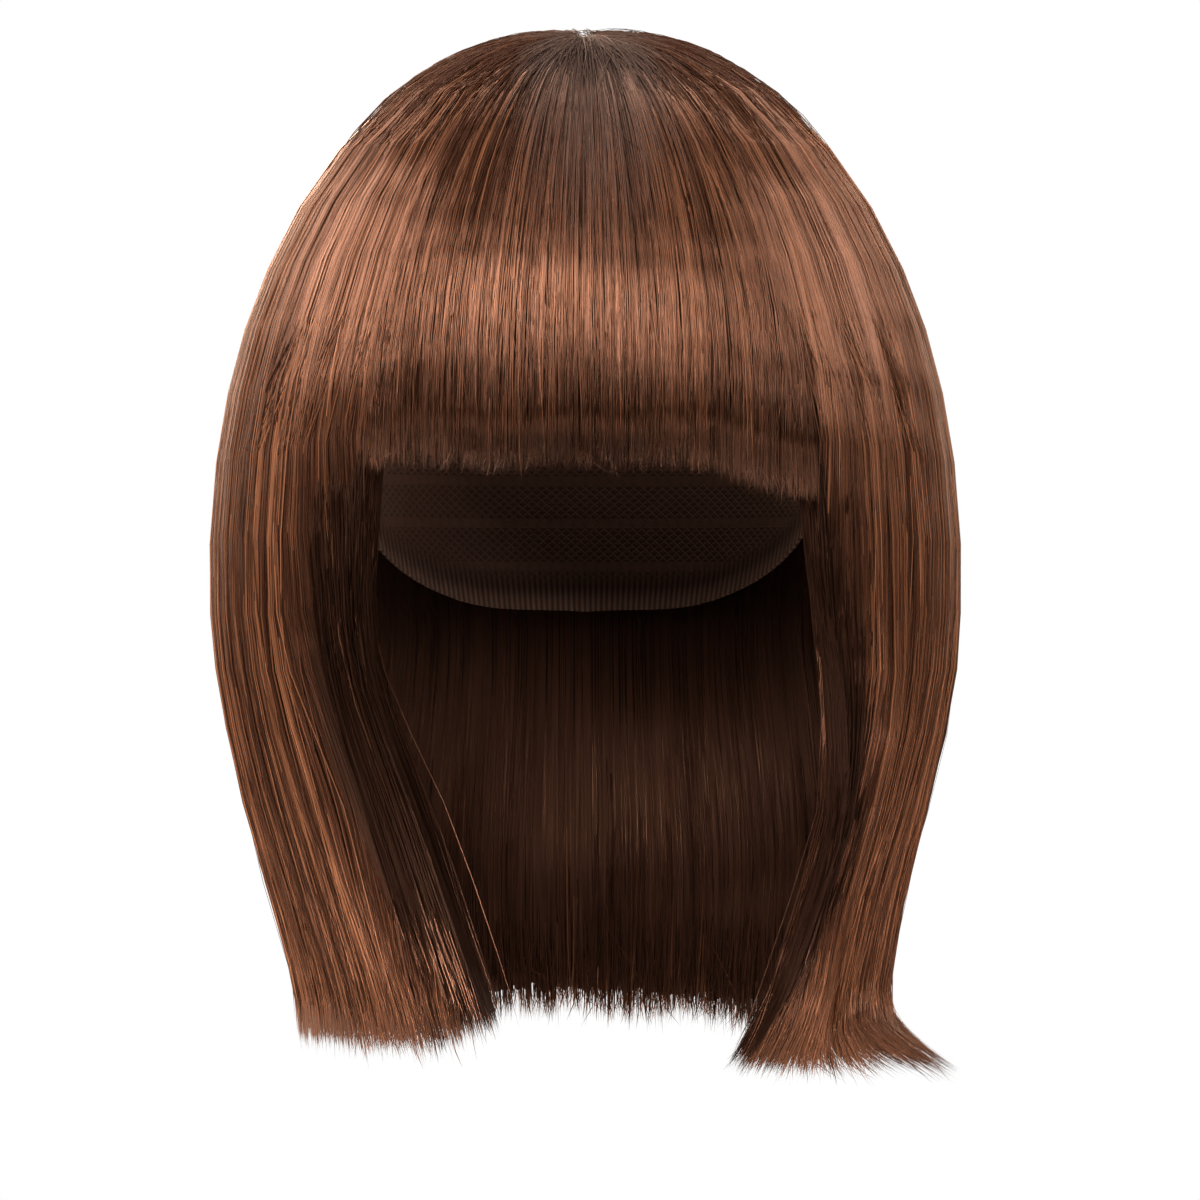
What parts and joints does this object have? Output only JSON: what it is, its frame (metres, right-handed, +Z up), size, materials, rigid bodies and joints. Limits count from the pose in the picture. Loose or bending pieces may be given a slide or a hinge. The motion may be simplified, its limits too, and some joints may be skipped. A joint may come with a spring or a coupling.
{
  "type": "bob wig",
  "caption": "Straight chestnut bob wig with a full fringe, hanging in its worn form from a net cap.",
  "frame": {"origin": "the point inside the cap that rests on the top of the head", "axes": "+Z up, -Y the way that the face looks, +X the wearer's left"},
  "size_m": [0.208, 0.2212, 0.2862],
  "materials": {
    "hair": "smooth straight chestnut hair, satin gloss",
    "root_hair": "smooth dark brown hair roots, satin gloss",
    "cap_net": "matt black-brown stretch net"
  },
  "bodies": {
    "root": {"wig_cap": "cap_net", "crown_hair": "root_hair", "fringe": "hair", "left_front_lock": "hair", "left_side_hair": "hair", "back_hair": "hair", "right_side_hair": "hair", "right_front_lock": "hair"}
  },
  "joints": []
}
